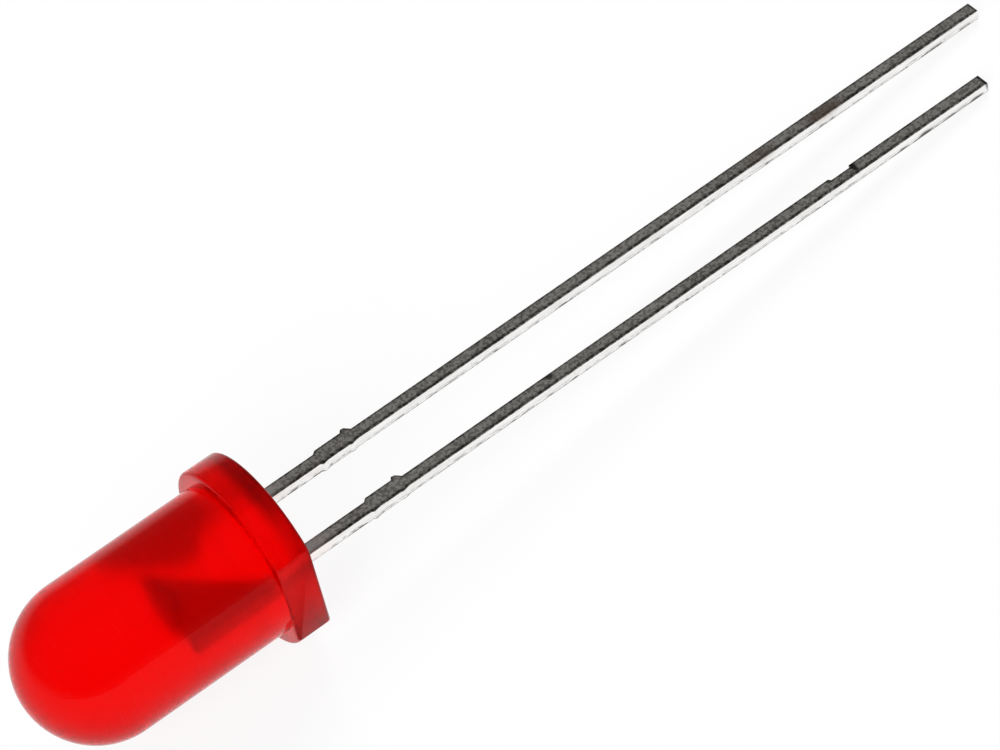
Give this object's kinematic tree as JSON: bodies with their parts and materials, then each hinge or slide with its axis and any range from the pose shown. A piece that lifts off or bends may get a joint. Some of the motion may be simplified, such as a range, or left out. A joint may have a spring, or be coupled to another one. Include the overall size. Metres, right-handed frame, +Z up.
{
  "type": "through-hole light-emitting diode",
  "caption": "Red diffused light-emitting diode: domed round lens on a flange with a cathode flat, and long straight leads that pass through a circuit board.",
  "frame": {"origin": "centre of the flange's base face, midway between the leads where they leave the lens", "axes": "+X from the flange towards the lead tips, +Z up from the surface that the diode lies on, -Y the side of the cathode lead and the flat; the lens axis tips down by 5.78 degrees towards the lead tips"},
  "size_m": [0.0364, 0.0055, 0.006],
  "materials": {
    "red_epoxy": "gloss",
    "cathode_metal": "satin",
    "anode_metal": "satin",
    "semiconductor": "satin",
    "silver_glue": "matte",
    "gold_wire": "polished"
  },
  "bodies": {
    "root": {"epoxy_lens": "red_epoxy", "cathode_lead": "cathode_metal", "anode_lead": "anode_metal", "led_die": "semiconductor", "die_attach": "silver_glue", "bond_wire": "gold_wire"}
  },
  "joints": []
}
